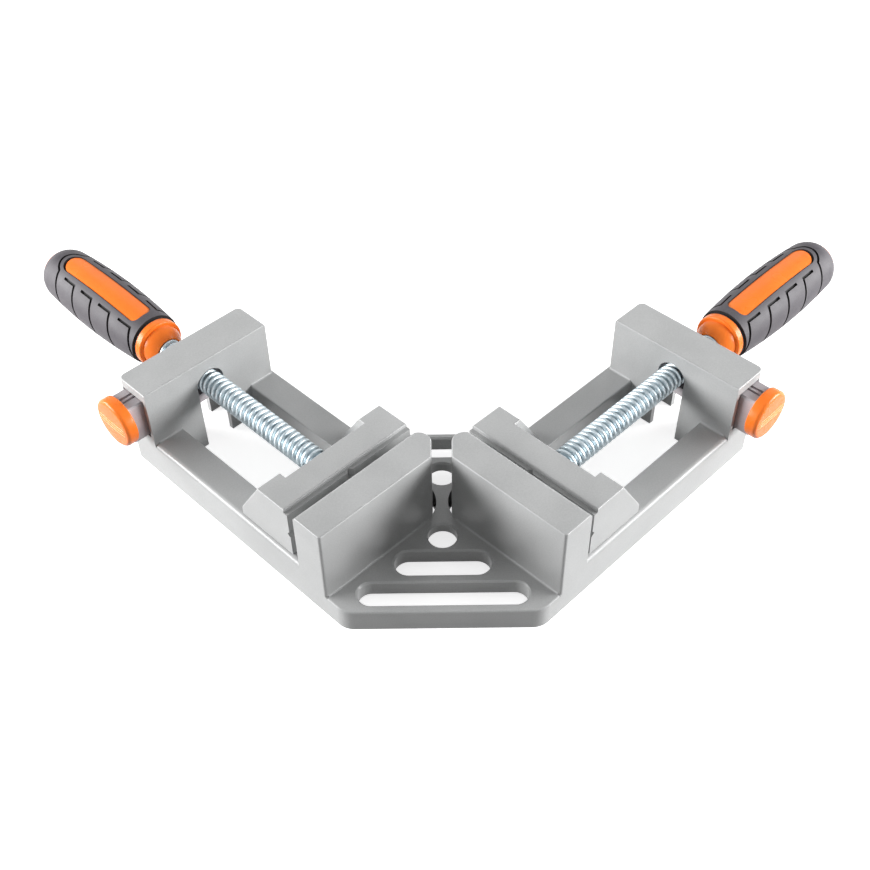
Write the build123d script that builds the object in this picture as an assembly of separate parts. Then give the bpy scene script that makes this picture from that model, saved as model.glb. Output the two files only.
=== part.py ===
from build123d import *
from math import asin, cos, degrees, radians, sin, sqrt
import os

os.makedirs("parts", exist_ok=True)

# All sizes are in millimetres and all angles in degrees.
# The clamping corner, where both fixed jaws' planes meet on the bench, is the origin.
# One arm is drawn with X along it, away from its fixed jaw, and Y from the clamp's middle to its
# outer side. It is then turned into place, and the other arm is its mirror image.

# Arms
ARM_WIDTH = 85.0
ARM_LENGTH = 120.5
INNER_SIDE = 14.4
INNER_RAIL_WIDTH = 14.7
OUTER_RAIL_WIDTH = 15.3
RAIL_TOP = 19.3
RAIL_EDGE_RADIUS = 2.4
RAIL_RIBS = 3

# Fixed jaws
JAW_THICKNESS = 16.2
JAW_HEIGHT = 49.4
CORNER_GAP = 8.6
JAW_TIP_RADIUS = 5.7
JAW_CORNER_RADIUS = 1.2
JAW_BACK_RADIUS = 2.0
JAW_RIBS = 2

# Plate
PLATE_TOP = 11.3
PLATE_FRONT = 79.2
PLATE_BACK = 24.0
PLATE_CORNER_RADIUS = 9.5
PLATE_EDGE_RADIUS = 1.0
FRONT_BAR = 4.0
FRONT_SLOT_MARGIN = 14.9
FRONT_SLOT_WIDTH = 11.5
SECOND_BAR = 4.3
SECOND_SLOT_LENGTH = 41.6
SECOND_SLOT_WIDTH = 12.7
BACK_BAR = 2.6
BACK_SLOT_LENGTH = 40.0
BACK_SLOT_WIDTH = 11.6
SCREW_HOLE_RADIUS = 6.5
SCREW_SEAT_RADIUS = 9.0
SCREW_SEAT_SET_BACK = 1.5
FRONT_HOLE_Y = -38.0
BACK_HOLE_Y = -1.2
RIM_CHAMFER = 0.8
NECK_WIDTH = 5.2
NECK_MIDDLE = -18.5
NECK_RELIEF_RADIUS = 16.0
NECK_CORE_END = -25.7
BACK_CORE_FRONT = -10.1

# Casting walls
WALL = 3.2
WEB = 7.5
SEAT_WEB = 5.0
RIB = 2.0
JAW_ROOF = 4.5
RAIL_ROOF = 5.0
LIP_WIDTH = 3.5
LIP_BOTTOM = 8.5
EDGE_RADIUS = 0.7
FOOT_RADIUS = 1.0

# End blocks
BLOCK_LENGTH = 19.65
BLOCK_TOP = 49.6
BLOCK_SET_IN = 1.4
BLOCK_WALL = 2.6
BLOCK_ROOF = 4.6
BLOCK_CORNER_RADIUS = 3.0
SPINDLE_SLOT_RADIUS = 7.4
WINDOW_MARGIN = 0.75

# Spindle
SPINDLE_ACROSS = 50.15
SPINDLE_HEIGHT = 35.6
SPINDLE_RADIUS = 6.0
JOURNAL_RADIUS = 4.5
CLIP_THICKNESS = 1.1
CLIP_RADIUS = 6.4
CLIP_GROOVE_DEPTH = 1.0
WASHER_THICKNESS = 1.2
SPINDLE_CHAMFER = 0.8

# Moving jaws
LEFT_JAW_GAP = 6.2
RIGHT_JAW_GAP = 4.0
MOVING_JAW_START = 13.2
MOVING_JAW_WIDTH = 70.0
MOVING_JAW_TOP = 45.7
MOVING_JAW_DEPTH = 32.7
TOP_DEPTH = 18.9
EAR_WIDTH = 12.7
EAR_DEPTH = 3.6
SLOPE_BOTTOM = 24.4
LEDGE_DEPTH = 2.0
LEDGE_DROP = 1.9
BAR_GROOVE_HEIGHT = 32.0
BAR_GROOVE_HALF = 1.6
BAR_GROOVE_DEPTH = 1.3
LOWER_FACE_STEP = 0.4
CENTRE_NOTCH_HALF = 2.2
CENTRE_NOTCH_DEPTH = 1.8
FACE_WALL = 4.7
MOVING_JAW_ROOF = 3.0
KEEL_SET_BACK = 1.5
KEEL_END_MARGIN = 4.7
BOSS_WIDTH = 8.0
THRUST_FACE = 16.5
THRUST_LENGTH = 7.0
THRUST_RADIUS = 9.0

# Keeper
KEEPER_THICKNESS = 3.0
KEEPER_REACH = 2.6
KEEPER_SET_IN = 3.5
SCREW_RADIUS = 2.0
SCREW_HEAD_RADIUS = 3.6
SCREW_HEAD_HEIGHT = 2.4
SCREW_DEPTH = 9.0
SCREW_SOCKET_RADIUS = 1.2

# Handle, along the spindle from the collar's rim
HANDLE_REACH = 134.8
COLLAR_RADIUS = 12.0
COLLAR_RIM = 1.5
COLLAR_BEAD_SINK = 0.5
COLLAR_BEAD_RISE = 2.5
COLLAR_BEAD_BULGE = 1.5
COLLAR_SHOULDER = 2.2
GRIP_START_RADIUS = 12.9
GRIP_RADIUS = 15.15
GRIP_WIDEST = 40.1
HANDLE_LENGTH = 89.1
TIP_RADIUS = 13.7
CORE_RADIUS = 9.0
CORE_LENGTH = 79.0
BUTTON_RADIUS = 11.5
BORE_DEPTH = 46.0
INLAY_START = 7.6
INLAY_END = 70.1
INLAY_HALF_WIDTH = 6.5
INLAY_SINK = 0.5

# Quick release
SLIDER_WIDTH = 13.7
SLIDER_HEIGHT = 20.8
SLIDER_START = 34.0
SLIDER_CHAMFER = 0.8
STEM_LENGTH = 7.2
STEM_GROOVE_WIDTH = 4.0
STEM_GROOVE_DEPTH = 1.0
PRESS_TRAVEL = 5.0
NUT_SLACK = 0.6
CAP_WIDTH = 24.4
CAP_HEIGHT = 23.8
CAP_THICKNESS = 6.2
CAP_EDGE_RADIUS = 2.2
CAP_BACK_RADIUS = 0.8
CAP_RISE = 1.2
TENON_WIDTH = 8.0
TENON_HEIGHT = 12.0
TENON_LENGTH = 3.5
SPRING_RADIUS = 3.9
SPRING_WIRE = 1.0
SPRING_TURNS = 5
SPIGOT_LENGTH = 3.0
SPIGOT_CLEARANCE = 0.3

# Clearances
SLIDE_CLEARANCE = 0.3
RUNNING_CLEARANCE = 0.05
THRUST_CLEARANCE = 0.2
SLIDER_CLEARANCE = 0.35
SPINDLE_CLEARANCE = 0.6

# Places that follow from the sizes
ROOT2 = sqrt(2)
JAW_INNER_END = CORNER_GAP / 2
SLOT_INNER = INNER_SIDE + INNER_RAIL_WIDTH
SLOT_OUTER = ARM_WIDTH - OUTER_RAIL_WIDTH
BLOCK_START = ARM_LENGTH - BLOCK_LENGTH
BLOCK_MIDDLE = ARM_LENGTH - BLOCK_LENGTH / 2
BLOCK_SIDE = INNER_SIDE + BLOCK_SET_IN
CAVITY_TOP = BLOCK_TOP - BLOCK_ROOF
SLIDER_TOP = CAVITY_TOP - 2 * SLIDE_CLEARANCE
SLIDER_END = ARM_WIDTH + STEM_LENGTH
SLIDER_MIDDLE = SLIDER_TOP - SLIDER_HEIGHT / 2
SPRING_SEAT = BLOCK_SIDE + BLOCK_WALL
SPIGOT_RADIUS = SPRING_RADIUS - SPRING_WIRE / 2 - SPIGOT_CLEARANCE
JAW_BOTTOM = RAIL_TOP + SLIDE_CLEARANCE
KEEPER_TOP = LIP_BOTTOM - SLIDE_CLEARANCE
KEEL_START = SLOT_INNER + SLIDE_CLEARANCE
KEEL_END = SLOT_OUTER - SLIDE_CLEARANCE
BACK_SLOT_Y = PLATE_BACK - BACK_BAR - BACK_SLOT_WIDTH / 2
FRONT_SLOT_Y = FRONT_BAR + FRONT_SLOT_WIDTH / 2 - PLATE_FRONT
FRONT_SLOT_LENGTH = 2 * (ROOT2 * ARM_WIDTH + FRONT_SLOT_Y - FRONT_SLOT_MARGIN)
SECOND_SLOT_Y = FRONT_SLOT_Y + FRONT_SLOT_WIDTH / 2 + SECOND_BAR + SECOND_SLOT_WIDTH / 2
MIDDLE_DEPTH = MOVING_JAW_DEPTH - EAR_DEPTH
SPINDLE_SHOULDER = THRUST_FACE + WASHER_THICKNESS + THRUST_CLEARANCE
CLIP_START = THRUST_FACE - THRUST_LENGTH - THRUST_CLEARANCE - CLIP_THICKNESS


def block(x0, x1, y0, y1, z0, z1):
    """A box between two opposite corners."""
    centre = Pos((x0 + x1) / 2, (y0 + y1) / 2, (z0 + z1) / 2)
    return centre * Box(x1 - x0, y1 - y0, z1 - z0)


def prism(plan, z0, z1):
    """A plan drawn up from z0 to z1."""
    return extrude(Pos(0, 0, z0) * plan, amount=z1 - z0)


def across(profile, y0, y1):
    """A profile of the arm's length and height, drawn across the arm from y0 to y1."""
    return extrude(Plane.XZ.offset(-y1) * profile, amount=y1 - y0)


def along(section, x0, x1):
    """A section of the arm's width and height, drawn along the arm from x0 to x1."""
    return extrude(Plane.YZ.offset(x0) * section, amount=x1 - x0)


def outline(points):
    """A closed face through the points."""
    return make_face(Polyline(*points, close=True))


def in_place(x, y):
    """The place in the clamp of a point of the left arm's plan."""
    return (-(x + y) / ROOT2, (x - y) / ROOT2)


def arm_side(shape, side):
    """One arm's shape turned to its side of the clamp."""
    placed = Rot(0, 0, 135) * shape
    if side == "left":
        return placed
    return mirror(placed, about=Plane.YZ)


def both_sides(shape):
    """The same shape on both arms."""
    return arm_side(shape, "left") + arm_side(shape, "right")


def corner_piece(radius):
    """The piece between a square corner at the origin and its rounding, on the side of -X and +Y."""
    corner = Pos(-radius / 2, radius / 2) * Rectangle(radius, radius)
    return corner - Pos(-radius, radius) * Circle(radius)


# Frame casting
def both_halves(left_points):
    """A plan that is its own mirror image, from the points of its left half, front to back."""
    right_points = [(-x, y) for x, y in reversed(left_points)]
    return outline(left_points + right_points)


def side_meets(across_arm, y):
    """The point on the left side line, at a distance across the arm, with the given Y."""
    return (-ROOT2 * across_arm - y, y)


def plate_blank():
    plan = both_halves([
        side_meets(ARM_WIDTH, -PLATE_FRONT),
        in_place(0, ARM_WIDTH),
        in_place(0, INNER_SIDE),
        side_meets(INNER_SIDE, PLATE_BACK),
    ])
    front_corners = plan.vertices().group_by(Axis.Y)[0]
    plan = fillet(front_corners, PLATE_CORNER_RADIUS)
    blank = prism(plan, 0, PLATE_TOP)
    blank -= prism(plate_openings(), 0, PLATE_TOP)
    top = blank.faces().sort_by(Axis.Z)[-1]
    rims = [edge for wire in top.inner_wires() for edge in wire.edges()]
    blank = chamfer(rims, RIM_CHAMFER)
    top = blank.faces().sort_by(Axis.Z)[-1]
    side_end = in_place(0, ARM_WIDTH)[1]
    front_rim = [edge for edge in top.outer_wire().edges() if edge.center().Y < side_end]
    return fillet(front_rim, PLATE_EDGE_RADIUS)


def plate_openings():
    """Both front slots, the back slot and both screw holes."""
    openings = Pos(0, FRONT_SLOT_Y) * SlotOverall(FRONT_SLOT_LENGTH, FRONT_SLOT_WIDTH)
    openings += Pos(0, SECOND_SLOT_Y) * SlotOverall(SECOND_SLOT_LENGTH, SECOND_SLOT_WIDTH)
    openings += Pos(0, BACK_SLOT_Y) * SlotOverall(BACK_SLOT_LENGTH, BACK_SLOT_WIDTH)
    openings += Pos(0, FRONT_HOLE_Y) * Circle(SCREW_HOLE_RADIUS)
    openings += Pos(0, BACK_HOLE_Y) * Circle(SCREW_HOLE_RADIUS)
    return openings


def neck_reliefs():
    """The two hollowed sides that free the neck of the plate from the fixed jaws' inner ends."""
    offset = NECK_WIDTH / 2 + NECK_RELIEF_RADIUS
    plan = Pos(-offset, NECK_MIDDLE) * Circle(NECK_RELIEF_RADIUS)
    plan += Pos(offset, NECK_MIDDLE) * Circle(NECK_RELIEF_RADIUS)
    plan &= Pos(0, NECK_MIDDLE) * Rectangle(2 * JAW_INNER_END, 2 * NECK_RELIEF_RADIUS)
    return prism(plan, 0, PLATE_TOP)


def front_core():
    """The hollow under the plate in front of the fixed jaws."""
    back = in_place(-JAW_THICKNESS, ROOT2 * JAW_INNER_END + JAW_THICKNESS)[1]
    width = ARM_WIDTH - WALL
    plan = both_halves([
        side_meets(width, -width),
        in_place(-JAW_THICKNESS, width),
        (back + ROOT2 * JAW_THICKNESS, back),
    ])
    plan &= Pos(0, WALL - PLATE_FRONT) * Rectangle(4 * width, width, align=(Align.CENTER, Align.MIN))
    return prism(plan, 0, PLATE_TOP - WEB)


def back_core():
    """The hollow under the plate behind the fixed jaws, open at the back under the bar."""
    plan = both_halves([
        side_meets(INNER_SIDE, BACK_CORE_FRONT),
        side_meets(INNER_SIDE, PLATE_BACK),
    ])
    return prism(plan, 0, PLATE_TOP - WEB)


def seat_core():
    """The deeper hollow around both screw holes and under the front end of the neck."""
    front = Pos(0, FRONT_HOLE_Y + SCREW_SEAT_SET_BACK) * Circle(SCREW_SEAT_RADIUS)
    back = Pos(0, BACK_HOLE_Y + SCREW_SEAT_SET_BACK) * Circle(SCREW_SEAT_RADIUS)
    length = NECK_CORE_END - FRONT_HOLE_Y
    neck = Pos(0, FRONT_HOLE_Y + length / 2) * Rectangle(2 * JAW_INNER_END, length)
    return prism(front + neck + back, 0, PLATE_TOP - SEAT_WEB)


def fixed_jaw_plan(set_in):
    """The fixed jaw's plan, or its hollow's where it is set in by a wall."""
    reach = ROOT2 * (JAW_INNER_END + set_in)
    front = set_in - JAW_THICKNESS
    plan = outline([
        (-set_in, ARM_WIDTH - set_in),
        (front, ARM_WIDTH - set_in),
        (front, reach - front),
        (-set_in, reach + set_in),
    ])
    plan = fillet(plan.vertices().sort_by(Axis.Y)[0], JAW_TIP_RADIUS - set_in)
    return plan


def fixed_jaw():
    """The fixed jaw, whose outer edge is rounded above the plate only."""
    plan = fixed_jaw_plan(0)
    foot = prism(plan, 0, PLATE_TOP)
    plan = fillet(plan.vertices().group_by(Axis.Y)[-1].sort_by(Axis.X)[0], JAW_CORNER_RADIUS)
    jaw = prism(plan, 0, JAW_HEIGHT)
    jaw = fillet(jaw.faces().sort_by(Axis.Z)[-1].edges(), EDGE_RADIUS)
    return foot + jaw - back_rounding()


def jaw_foot():
    """The rounded foot of the fixed jaw's straight front on the plate."""
    foot = Pos(-JAW_THICKNESS, PLATE_TOP) * corner_piece(FOOT_RADIUS)
    straight = ROOT2 * JAW_INNER_END + JAW_THICKNESS + (ROOT2 - 1) * JAW_TIP_RADIUS
    return across(foot, straight, ARM_WIDTH - JAW_CORNER_RADIUS)


def back_rounding():
    """What is machined off the top of the clamping face to round it over."""
    waste = Rot(0, 0, 90) * corner_piece(JAW_BACK_RADIUS)
    return across(Pos(0, JAW_HEIGHT) * waste, 0, ARM_WIDTH)


def fixed_jaw_core():
    core = prism(fixed_jaw_plan(WALL), 0, JAW_HEIGHT - JAW_ROOF)
    pitch = (ARM_WIDTH - JAW_THICKNESS) / (JAW_RIBS + 1)
    for index in range(JAW_RIBS):
        y = JAW_THICKNESS + pitch * (index + 1)
        core -= block(-JAW_THICKNESS, 0, y - RIB / 2, y + RIB / 2, 0, JAW_HEIGHT)
    return core


def rails():
    end = BLOCK_START + BLOCK_WALL
    outer = block(0, end, SLOT_OUTER, ARM_WIDTH, 0, RAIL_TOP)
    outer_edge = outer.edges().filter_by(Axis.X).group_by(Axis.Z)[-1].sort_by(Axis.Y)[-1]
    outer = fillet(outer_edge, RAIL_EDGE_RADIUS)
    inner = block(0, end, INNER_SIDE, SLOT_INNER, 0, RAIL_TOP)
    inner_edges = inner.edges().filter_by(Axis.X).group_by(Axis.Z)[-1]
    return outer + fillet(inner_edges, EDGE_RADIUS)


def rail_core(y0, y1, lip_y0, lip_y1):
    """A rail's hollow from y0 to y1, and the space for the keeper under its lip."""
    core = block(0, BLOCK_START, y0, y1, 0, RAIL_TOP - RAIL_ROOF)
    pitch = BLOCK_START / (RAIL_RIBS + 1)
    for index in range(RAIL_RIBS):
        x = pitch * (index + 1)
        core -= block(x - RIB / 2, x + RIB / 2, y0, y1, LIP_BOTTOM, RAIL_TOP)
    return core + block(0, BLOCK_START, lip_y0, lip_y1, 0, LIP_BOTTOM)


def rail_cores():
    inner = rail_core(INNER_SIDE + WALL, SLOT_INNER - LIP_WIDTH, SLOT_INNER - LIP_WIDTH, SLOT_INNER)
    outer = rail_core(SLOT_OUTER + LIP_WIDTH, ARM_WIDTH - WALL, SLOT_OUTER, SLOT_OUTER + LIP_WIDTH)
    return inner + outer


def end_block():
    plan = outline([
        (BLOCK_START, BLOCK_SIDE),
        (ARM_LENGTH, BLOCK_SIDE),
        (ARM_LENGTH, ARM_WIDTH),
        (BLOCK_START, ARM_WIDTH),
    ])
    plan = fillet(plan.vertices().group_by(Axis.X)[-1], BLOCK_CORNER_RADIUS)
    solid = prism(plan, 0, BLOCK_TOP)
    return fillet(solid.faces().sort_by(Axis.Z)[-1].edges(), EDGE_RADIUS)


def block_feet():
    """The rounded feet of the end block on both rails."""
    foot = Pos(BLOCK_START, RAIL_TOP) * corner_piece(FOOT_RADIUS)
    inner = across(foot, BLOCK_SIDE, SLOT_INNER - EDGE_RADIUS)
    return inner + across(foot, SLOT_OUTER, ARM_WIDTH - RAIL_EDGE_RADIUS)


def end_block_core():
    """The end block's hollow, the arches for the spindle and the window for the slider."""
    half = SLIDER_WIDTH / 2 + SLIDER_CLEARANCE
    y0 = SPRING_SEAT
    y1 = ARM_WIDTH - BLOCK_WALL
    core = block(BLOCK_MIDDLE - half, BLOCK_MIDDLE + half, y0, y1, 0, CAVITY_TOP)
    arch = Pos(SPINDLE_ACROSS, SPINDLE_HEIGHT) * Circle(SPINDLE_SLOT_RADIUS)
    opening = Rectangle(2 * SPINDLE_SLOT_RADIUS, SPINDLE_HEIGHT, align=(Align.CENTER, Align.MIN))
    arch += Pos(SPINDLE_ACROSS, 0) * opening
    core += along(arch, BLOCK_START, ARM_LENGTH)
    sill = SLIDER_TOP - SLIDER_HEIGHT - 2 * SLIDE_CLEARANCE
    wide = half + WINDOW_MARGIN
    core += block(BLOCK_MIDDLE - wide, BLOCK_MIDDLE + wide, y1, ARM_WIDTH, sill, CAVITY_TOP)
    return core


def spring_spigot():
    """The peg on the end block's inner wall that centres the spring."""
    disc = Pos(BLOCK_MIDDLE, SLIDER_MIDDLE) * Circle(SPIGOT_RADIUS)
    return across(disc, SPRING_SEAT, SPRING_SEAT + SPIGOT_LENGTH)


def frame():
    arm = fixed_jaw() + jaw_foot() + rails() + end_block() + block_feet()
    casting = plate_blank() + both_sides(arm)
    slots = block(0, BLOCK_START, SLOT_INNER, SLOT_OUTER, 0, RAIL_TOP)
    cores = fixed_jaw_core() + rail_cores() + end_block_core() + slots
    casting -= both_sides(cores)
    casting -= front_core() + back_core() + seat_core() + neck_reliefs()
    return casting + both_sides(spring_spigot())


# Moving jaw, with X from its clamping face
def jaw_profile(depth):
    """The jaw's outer profile with its sloping back set at a depth."""
    top_end = TOP_DEPTH + depth - MOVING_JAW_DEPTH
    return outline([
        (-LOWER_FACE_STEP, JAW_BOTTOM),
        (-LOWER_FACE_STEP, BAR_GROOVE_HEIGHT - BAR_GROOVE_HALF),
        (BAR_GROOVE_DEPTH, BAR_GROOVE_HEIGHT),
        (0, BAR_GROOVE_HEIGHT + BAR_GROOVE_HALF),
        (0, MOVING_JAW_TOP - LEDGE_DROP),
        (LEDGE_DEPTH, MOVING_JAW_TOP - LEDGE_DROP),
        (LEDGE_DEPTH, MOVING_JAW_TOP),
        (top_end, MOVING_JAW_TOP),
        (depth, SLOPE_BOTTOM),
        (depth, JAW_BOTTOM),
    ])


def jaw_core_profile():
    """The jaw's hollow, with its back parallel to the slope outside."""
    top_end = TOP_DEPTH - EAR_DEPTH
    run = MOVING_JAW_DEPTH - TOP_DEPTH
    fall = MOVING_JAW_TOP - SLOPE_BOTTOM
    slant = sqrt(run * run + fall * fall)
    top = MOVING_JAW_TOP - MOVING_JAW_ROOF
    back = MIDDLE_DEPTH - KEEL_END_MARGIN
    slope_top = top_end - WALL * slant / fall + (MOVING_JAW_TOP - top) * run / fall
    slope_end = MOVING_JAW_TOP - (back - top_end + WALL * slant / fall) * fall / run
    return outline([
        (FACE_WALL, KEEPER_TOP),
        (FACE_WALL, top),
        (slope_top, top),
        (back, slope_end),
        (back, KEEPER_TOP),
    ])


def thrust_boss():
    """The boss inside the jaw that takes the spindle's push and pull."""
    ring = Pos(SPINDLE_ACROSS, SPINDLE_HEIGHT) * Circle(THRUST_RADIUS)
    web = Rectangle(2 * THRUST_RADIUS, MOVING_JAW_TOP - SPINDLE_HEIGHT, align=(Align.CENTER, Align.MIN))
    section = ring + Pos(SPINDLE_ACROSS, SPINDLE_HEIGHT) * web
    return along(section, THRUST_FACE - THRUST_LENGTH, MIDDLE_DEPTH)


def moving_jaw(gap):
    start = MOVING_JAW_START
    end = start + MOVING_JAW_WIDTH
    jaw = across(jaw_profile(MIDDLE_DEPTH), start, end)
    ear = jaw_profile(MOVING_JAW_DEPTH)
    jaw += across(ear, start, start + EAR_WIDTH) + across(ear, end - EAR_WIDTH, end)
    middle = (start + end) / 2
    notch = outline([
        (-LOWER_FACE_STEP, middle - CENTRE_NOTCH_HALF),
        (CENTRE_NOTCH_DEPTH, middle),
        (-LOWER_FACE_STEP, middle + CENTRE_NOTCH_HALF),
    ])
    slopes = jaw.faces().filter_by(Axis.Y).group_by(Axis.Y)
    slope_edges = [
        edge for face in (slopes[0][0], slopes[-1][0]) for edge in face.edges()
        if edge.center().Z > SLOPE_BOTTOM and edge.center().X > TOP_DEPTH
    ]
    jaw = fillet(jaw.faces().sort_by(Axis.Z)[-1].edges() + slope_edges, EDGE_RADIUS)
    jaw -= prism(notch, JAW_BOTTOM, MOVING_JAW_TOP)
    jaw += block(KEEL_SET_BACK, MIDDLE_DEPTH - KEEL_SET_BACK, KEEL_START, KEEL_END, KEEPER_TOP, JAW_BOTTOM)
    hollow = jaw_core_profile()
    boss_start = KEEL_START + BOSS_WIDTH
    boss_end = KEEL_END - BOSS_WIDTH
    middle_core = across(hollow, boss_start, boss_end) - thrust_boss()
    inner_core = across(hollow, start + WALL, KEEL_START - WALL)
    outer_core = across(hollow, KEEL_END + WALL, end - WALL)
    jaw -= middle_core + inner_core + outer_core
    bore = Pos(SPINDLE_ACROSS, SPINDLE_HEIGHT) * Circle(SPINDLE_RADIUS + SPINDLE_CLEARANCE)
    journal = Pos(SPINDLE_ACROSS, SPINDLE_HEIGHT) * Circle(JOURNAL_RADIUS + RUNNING_CLEARANCE)
    clip_room = Pos(SPINDLE_ACROSS, SPINDLE_HEIGHT) * Circle(CLIP_RADIUS + SLIDE_CLEARANCE)
    jaw -= along(bore, THRUST_FACE, MOVING_JAW_DEPTH)
    jaw -= along(journal, THRUST_FACE - THRUST_LENGTH, THRUST_FACE)
    jaw -= along(clip_room, FACE_WALL, THRUST_FACE - THRUST_LENGTH)
    for place in screw_places():
        jaw -= prism(Pos(*place) * Circle(SCREW_RADIUS), KEEPER_TOP, KEEPER_TOP + SCREW_DEPTH)
    return Pos(gap, 0, 0) * jaw


def screw_places():
    """Where the keeper's screws go into the keel's two bosses."""
    x = MIDDLE_DEPTH / 2
    return [(x, KEEL_START + BOSS_WIDTH / 2), (x, KEEL_END - BOSS_WIDTH / 2)]


def jaw_keeper(gap):
    x0 = KEEL_SET_BACK + KEEPER_SET_IN
    x1 = MIDDLE_DEPTH - KEEL_SET_BACK - KEEPER_SET_IN
    y0 = SLOT_INNER - KEEPER_REACH
    y1 = SLOT_OUTER + KEEPER_REACH
    plate = block(x0, x1, y0, y1, KEEPER_TOP - KEEPER_THICKNESS, KEEPER_TOP)
    plate = fillet(plate.edges().filter_by(Axis.Z), EDGE_RADIUS)
    for place in screw_places():
        plate -= prism(Pos(*place) * Circle(SCREW_RADIUS), KEEPER_TOP - KEEPER_THICKNESS, KEEPER_TOP)
    return Pos(gap, 0, 0) * plate


def keeper_screw():
    """One pan-head screw, pointing up, with its head's seat at height 0."""
    head = prism(Circle(SCREW_HEAD_RADIUS), -SCREW_HEAD_HEIGHT, 0)
    head = fillet(head.edges().group_by(Axis.Z)[0], EDGE_RADIUS)
    shank = prism(Circle(SCREW_RADIUS), 0, KEEPER_THICKNESS + SCREW_DEPTH)
    socket = RegularPolygon(SCREW_SOCKET_RADIUS, 6, major_radius=False)
    return head + shank - prism(socket, -SCREW_HEAD_HEIGHT, -SCREW_HEAD_HEIGHT / 2)


def keeper_screws(gap):
    seat = KEEPER_TOP - KEEPER_THICKNESS
    return Compound([Pos(gap + x, y, seat) * keeper_screw() for x, y in screw_places()])


def turned(profile):
    """A profile of length and radius, turned about the spindle's axis."""
    return Pos(0, SPINDLE_ACROSS, SPINDLE_HEIGHT) * revolve(profile, Axis.X)


def ring_profile(x0, x1, inner, outer):
    """The profile of a plain ring."""
    return outline([(x0, inner), (x1, inner), (x1, outer), (x0, outer)])


def thrust_washer(gap):
    outer = SPINDLE_RADIUS + SPINDLE_CLEARANCE / 2
    inner = JOURNAL_RADIUS + SLIDE_CLEARANCE
    washer = turned(ring_profile(THRUST_FACE, THRUST_FACE + WASHER_THICKNESS, inner, outer))
    return Pos(gap, 0, 0) * washer


# Spindle and what turns with it
def spindle(gap):
    end = HANDLE_REACH + BORE_DEPTH
    groove_radius = JOURNAL_RADIUS - CLIP_GROOVE_DEPTH
    tip = CLIP_START - CLIP_THICKNESS
    profile = outline([
        (tip, 0),
        (tip, groove_radius),
        (tip + CLIP_GROOVE_DEPTH / 2, JOURNAL_RADIUS),
        (CLIP_START, JOURNAL_RADIUS),
        (CLIP_START, groove_radius),
        (CLIP_START + CLIP_THICKNESS, groove_radius),
        (CLIP_START + CLIP_THICKNESS, JOURNAL_RADIUS),
        (SPINDLE_SHOULDER, JOURNAL_RADIUS),
        (SPINDLE_SHOULDER, SPINDLE_RADIUS - SPINDLE_CHAMFER),
        (SPINDLE_SHOULDER + SPINDLE_CHAMFER, SPINDLE_RADIUS),
        (end, SPINDLE_RADIUS),
        (end, 0),
    ])
    return Pos(gap, 0, 0) * turned(profile)


def spindle_clip(gap):
    inner = JOURNAL_RADIUS - CLIP_GROOVE_DEPTH
    clip = turned(ring_profile(CLIP_START, CLIP_START + CLIP_THICKNESS, inner, CLIP_RADIUS))
    mouth = block(
        CLIP_START, CLIP_START + CLIP_THICKNESS,
        SPINDLE_ACROSS - inner * cos(radians(30)), SPINDLE_ACROSS + inner * cos(radians(30)),
        SPINDLE_HEIGHT - CLIP_RADIUS, SPINDLE_HEIGHT - inner * sin(radians(30)),
    )
    return Pos(gap, 0, 0) * (clip - mouth)


def barrel(sink):
    """The grip's long edge, sunk by a little, from its front end to where the round tip starts."""
    start = (COLLAR_SHOULDER, GRIP_START_RADIUS - sink)
    widest = (GRIP_WIDEST, GRIP_RADIUS - sink)
    end = (HANDLE_LENGTH - TIP_RADIUS, TIP_RADIUS - sink)
    return ThreePointArc(start, widest, end)


def tip_arc(sink, radius):
    """The round tip's edge from the axis out to a radius."""
    reach = TIP_RADIUS - sink
    return CenterArc((HANDLE_LENGTH - TIP_RADIUS, 0), reach, 0, degrees(asin(radius / reach)))


def inlay_form():
    """The grip's outer form at the height of the inlay's surface."""
    side = barrel(INLAY_SINK)
    tip = tip_arc(INLAY_SINK, TIP_RADIUS - INLAY_SINK)
    rest = Polyline(tip @ 0, (COLLAR_SHOULDER, 0), side @ 0)
    return revolve(make_face([side.edge(), tip.edge(), *rest.edges()]), Axis.X)


def inlay_prism():
    """The long window on top of the handle, rounded at its far end, from the core outwards."""
    length = INLAY_END - INLAY_START
    window = Rectangle(length - INLAY_HALF_WIDTH, 2 * INLAY_HALF_WIDTH, align=(Align.MIN, Align.CENTER))
    plan = Pos(INLAY_START, 0) * window
    plan = fillet(plan.vertices().group_by(Axis.X)[0], INLAY_HALF_WIDTH / 3)
    plan += Pos(INLAY_END - INLAY_HALF_WIDTH, 0) * Circle(INLAY_HALF_WIDTH)
    return prism(plan, 0, 2 * GRIP_RADIUS)


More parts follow.
